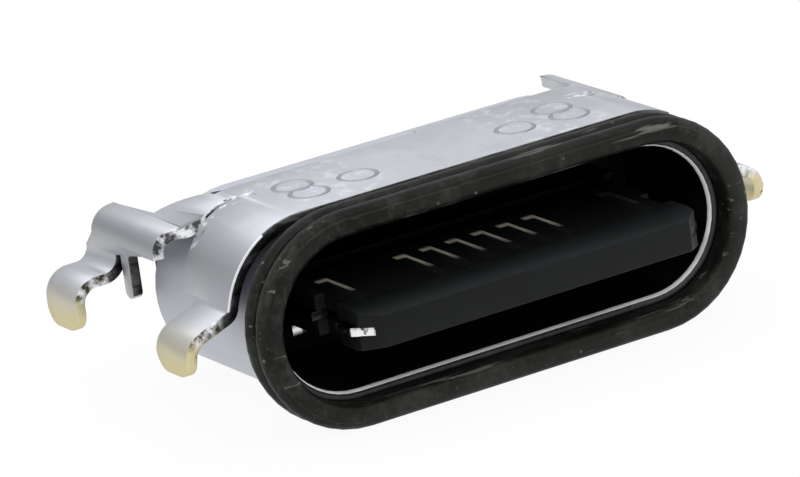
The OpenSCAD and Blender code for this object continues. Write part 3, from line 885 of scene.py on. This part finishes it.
class SOCKET_OT_seal(bpy.types.Operator):
    """Dress the rubber ring round the mouth"""

    bl_idname = "socket.seal"
    bl_label = "Front Seal"

    def execute(self, context):
        seal = context.scene.socket_seal
        piece = dressed("front_seal", "rubber_ring", (seal_rubber(seal),), seal.broken_edge)
        return {"FINISHED"}


class SOCKET_OT_body(bpy.types.Operator):
    """Dress the tongue, its carriers and the sealant"""

    bl_idname = "socket.body"
    bl_label = "Tongue and Housing"

    def execute(self, context):
        body = context.scene.socket_body
        black = black_moulding(body, "black_moulding", 1.0)
        piece = dressed("tongue_moulding", "tongue", (black,), body.broken_edge)
        carrier = black_moulding(body, "carrier_moulding", body.carrier_tone)
        coat("upper_carrier", carrier)
        coat("lower_carrier", carrier)
        coat("rear_sealant", cured_sealant(body))
        return {"FINISHED"}


class SOCKET_OT_pins(bpy.types.Operator):
    """Dress both rows of contacts, the tongue's core plate and the ground plates"""

    bl_idname = "socket.pins"
    bl_label = "Contacts and Plates"

    def execute(self, context):
        pins = context.scene.socket_pins
        plating = contacts_plating_and_light(pins)
        bright = plate_steel("plate_steel", pins.plate_colour)
        # Painted shade: a nearly black copy of the plate metal
        shaded_plate = plate_steel("painted_shade_plate", pins.plate_shade_colour)
        for pin in UPPER_PINS + LOWER_PINS:
            piece = dressed("contact_" + pin, "strip_" + pin, (plating,), pins.broken_edge)
        for plate in ("mid_plate", "upper_ground_plate", "lower_ground_plate"):
            piece = dressed(plate, plate + "_bright", (bright, shaded_plate), pins.broken_edge)
            for face in piece.data.polygons:
                # Painted shade on faces deep in the mouth or on the right half, but not on the lower ground
                # plate
                deep = face.center.y > pins.bright_depth or face.center.x > 0
                face.material_index = SHADED_FACES if deep and plate != "lower_ground_plate" else BRIGHT
        return {"FINISHED"}


class SOCKET_OT_stage(bpy.types.Operator):
    """Build the floor, the soft lights and the camera"""

    bl_idname = "socket.stage"
    bl_label = "Floor, Lights and Camera"

    def floor_finish(self, stage):
        """White to the eye and to mirrors, with the object's shadow kept, and plain paint to soft light."""
        material = bpy.data.materials.new("pale_floor")
        material.use_nodes = True
        tree = material.node_tree
        paint = tree.nodes["Principled BSDF"]
        paint.inputs["Base Color"].default_value = rgba(stage.floor_colour)
        paint.inputs["Roughness"].default_value = 0.9
        paint.inputs["Specular IOR Level"].default_value = 0.1
        glow = new_node(tree, "ShaderNodeEmission")
        glow.inputs["Strength"].default_value = 1.0
        ray = new_node(tree, "ShaderNodeLightPath").outputs
        seen = ray["Is Camera Ray"]
        for kind in ("Is Glossy Ray", "Is Transmission Ray"):
            seen = new_node(tree, "ShaderNodeMath", seen, ray[kind], operation="MAXIMUM").outputs[0]
        share = new_node(tree, "ShaderNodeMath", seen, stage.floor_glow, operation="MULTIPLY").outputs[0]
        both = new_node(tree, "ShaderNodeMixShader", share, paint.outputs[0], glow.outputs[0])
        feed(tree, tree.nodes["Material Output"].inputs["Surface"], both.outputs[0])
        return material

    def floor(self, context, stage):
        half = stage.floor_half
        z = CAD_LOW.z - stage.floor_gap
        mesh = bpy.data.meshes.new("floor")
        corners = [(-half, -half, z), (half, -half, z), (half, half, z), (-half, half, z)]
        mesh.from_pydata(corners, [], [(0, 1, 2, 3)])
        mesh.materials.append(self.floor_finish(stage))
        floor = bpy.data.objects.new("floor", mesh)
        context.scene.collection.objects.link(floor)

    def lamp(self, context, name, place, size, watts):
        """A round soft light that faces the part."""
        data = bpy.data.lights.new(name, "AREA")
        data.shape = "DISK"
        data.size = size
        data.energy = watts
        lamp = bpy.data.objects.new(name, data)
        context.scene.collection.objects.link(lamp)
        lamp.location = place
        lamp.rotation_euler = (-Vector(place)).to_track_quat("-Z", "Y").to_euler()

    def sky(self, context, stage):
        """A soft room that lightens from the horizon up."""
        world = bpy.data.worlds.new("soft_room")
        context.scene.world = world
        world.use_nodes = True
        tree = world.node_tree
        direction = new_node(tree, "ShaderNodeTexCoord").outputs["Generated"]
        height = new_node(tree, "ShaderNodeSeparateXYZ", direction).outputs["Z"]
        ramp = new_node(tree, "ShaderNodeValToRGB", height)
        low, high = ramp.color_ramp.elements
        low.position = 0.0
        low.color = rgba(stage.low_sky_colour)
        high.position = stage.high_sky_from
        high.color = rgba(stage.high_sky_colour)
        room = tree.nodes["Background"]
        room.inputs["Strength"].default_value = 1.0
        feed(tree, room.inputs["Color"], ramp.outputs["Color"])

    def camera(self, context, stage):
        """Aims the camera at the mouth's centre, then shifts it sideways in its own picture plane."""
        turned, raised, lean = -stage.azimuth, stage.elevation, stage.roll
        level = Vector((math.cos(turned), -math.sin(turned), 0))
        outward = Vector((-math.sin(turned), -math.cos(turned), 0))
        back = math.cos(raised) * outward + Vector((0, 0, math.sin(raised)))
        upright = back.cross(level)
        right = math.cos(lean) * level - math.sin(lean) * upright
        up = math.sin(lean) * level + math.cos(lean) * upright
        data = bpy.data.cameras.new("camera")
        data.sensor_width = SENSOR_WIDTH
        data.lens = SENSOR_WIDTH * stage.distance / stage.across
        data.clip_start = NEAREST
        data.clip_end = FARTHEST
        camera = bpy.data.objects.new("camera", data)
        context.scene.collection.objects.link(camera)
        turn = camera.matrix_world.to_3x3()
        turn.col[0], turn.col[1], turn.col[2] = right, up, back
        place = back * stage.distance - right * stage.offset_right - up * stage.offset_up
        camera.matrix_world = turn.to_4x4()
        camera.location = place
        context.scene.camera = camera

    def execute(self, context):
        stage = context.scene.socket_stage
        self.floor(context, stage)
        for name, place, size, watts in LAMPS:
            self.lamp(context, name, place, size, watts)
        self.sky(context, stage)
        self.camera(context, stage)
        context.scene.view_settings.view_transform = "Standard"
        return {"FINISHED"}


class SOCKET_PT_panel(bpy.types.Panel):
    """Sizes, colours and steps of the socket"""

    bl_idname = "SOCKET_PT_panel"
    bl_label = "Sealed Socket"
    bl_space_type = "VIEW_3D"
    bl_region_type = "UI"
    bl_category = "Socket"

    def draw(self, context):
        layout = self.layout
        for name, group, step in PARTS:
            box = layout.box()
            box.label(text=step.bl_label)
            settings = getattr(context.scene, name)
            for key in group.__annotations__:
                box.prop(settings, key)
            box.operator(step.bl_idname)


PARTS = (
    ("socket_cover", SocketCover, SOCKET_OT_cover),
    ("socket_shell", SocketShell, SOCKET_OT_shell),
    ("socket_seal", SocketSeal, SOCKET_OT_seal),
    ("socket_body", SocketBody, SOCKET_OT_body),
    ("socket_pins", SocketPins, SOCKET_OT_pins),
    ("socket_stage", SocketStage, SOCKET_OT_stage),
)


def register():
    for name, group, step in PARTS:
        bpy.utils.register_class(group)
        bpy.utils.register_class(step)
        setattr(bpy.types.Scene, name, bpy.props.PointerProperty(type=group))
    bpy.utils.register_class(SOCKET_PT_panel)


def unregister():
    bpy.utils.unregister_class(SOCKET_PT_panel)
    for name, group, step in reversed(PARTS):
        delattr(bpy.types.Scene, name)
        bpy.utils.unregister_class(step)
        bpy.utils.unregister_class(group)


def main():
    register()
    bpy.ops.socket.cover()
    bpy.ops.socket.shell()
    bpy.ops.socket.seal()
    bpy.ops.socket.body()
    bpy.ops.socket.pins()
    bpy.ops.socket.stage()


if __name__ == "__main__":
    main()
